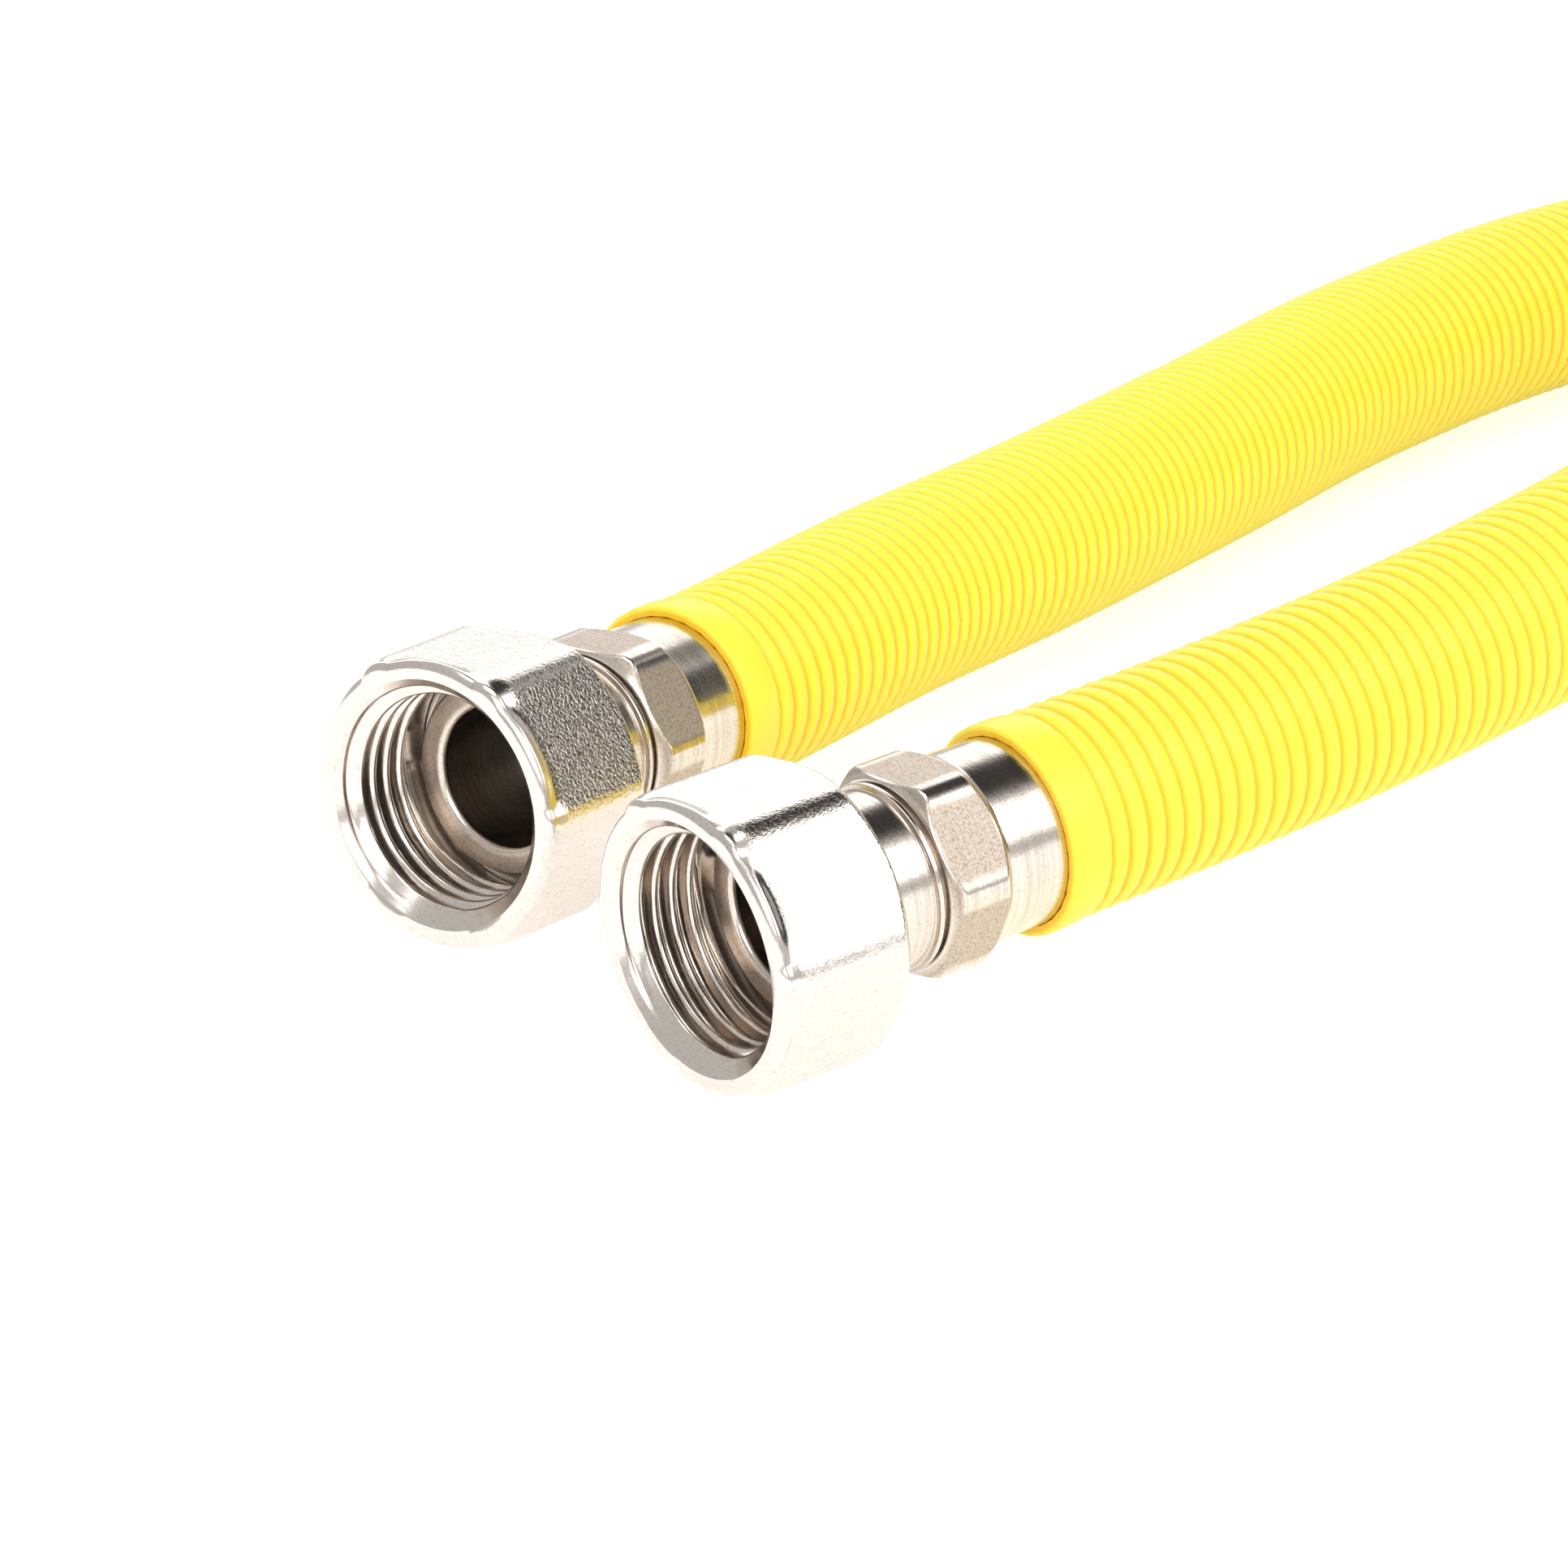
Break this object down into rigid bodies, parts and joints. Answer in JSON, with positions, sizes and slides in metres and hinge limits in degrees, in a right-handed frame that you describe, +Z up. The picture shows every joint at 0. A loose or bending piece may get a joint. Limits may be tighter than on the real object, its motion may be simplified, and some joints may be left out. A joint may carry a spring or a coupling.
{
  "type": "flexible gas hose",
  "caption": "Flexible gas hose with a ribbed yellow sheath over a corrugated metal tube and a loose hexagonal union nut on each end fitting.",
  "frame": {"origin": "centre of the two end fittings' box, at the surface that the hose lies on", "axes": "+X from the near fitting towards the hose, +Y from the near fitting to the far one, +Z up"},
  "size_m": [0.5014, 0.2881, 0.039],
  "materials": {
    "nut_steel": "nickel plated, fine grain on the flats",
    "fitting_steel": "turned and nickel plated, fine scratches",
    "spring_steel": "plain",
    "tube_steel": "bright",
    "sheath_plastic": "satin"
  },
  "bodies": {
    "hose": {"near_end_fitting": "fitting_steel", "far_end_fitting": "fitting_steel", "corrugated_steel_tube": "tube_steel", "yellow_sheath": "sheath_plastic"},
    "near_carrier": {"near_retaining_ring": "spring_steel"},
    "near_nut": {"near_union_nut": "nut_steel"},
    "far_carrier": {"far_retaining_ring": "spring_steel"},
    "far_nut": {"far_union_nut": "nut_steel"}
  },
  "joints": [
    {"name": "near_nut_slide", "type": "slide", "parent": "hose", "child": "near_carrier", "axis": [0.9955, 0, 0.0945], "range_m": [0, 0.0065]},
    {"name": "near_nut_spin", "type": "hinge", "parent": "near_carrier", "child": "near_nut", "pos_m": [-0.01942, -0.02396, 0.01296], "axis": [0.9955, 0, 0.0945], "continuous": true},
    {"name": "far_nut_slide", "type": "slide", "parent": "hose", "child": "far_carrier", "axis": [0.9633, 0.2686, 0], "range_m": [0, 0.0065]},
    {"name": "far_nut_spin", "type": "hinge", "parent": "far_carrier", "child": "far_nut", "pos_m": [-0.01376, 0.02034, 0.01305], "axis": [0.9633, 0.2686, 0], "continuous": true}
  ]
}
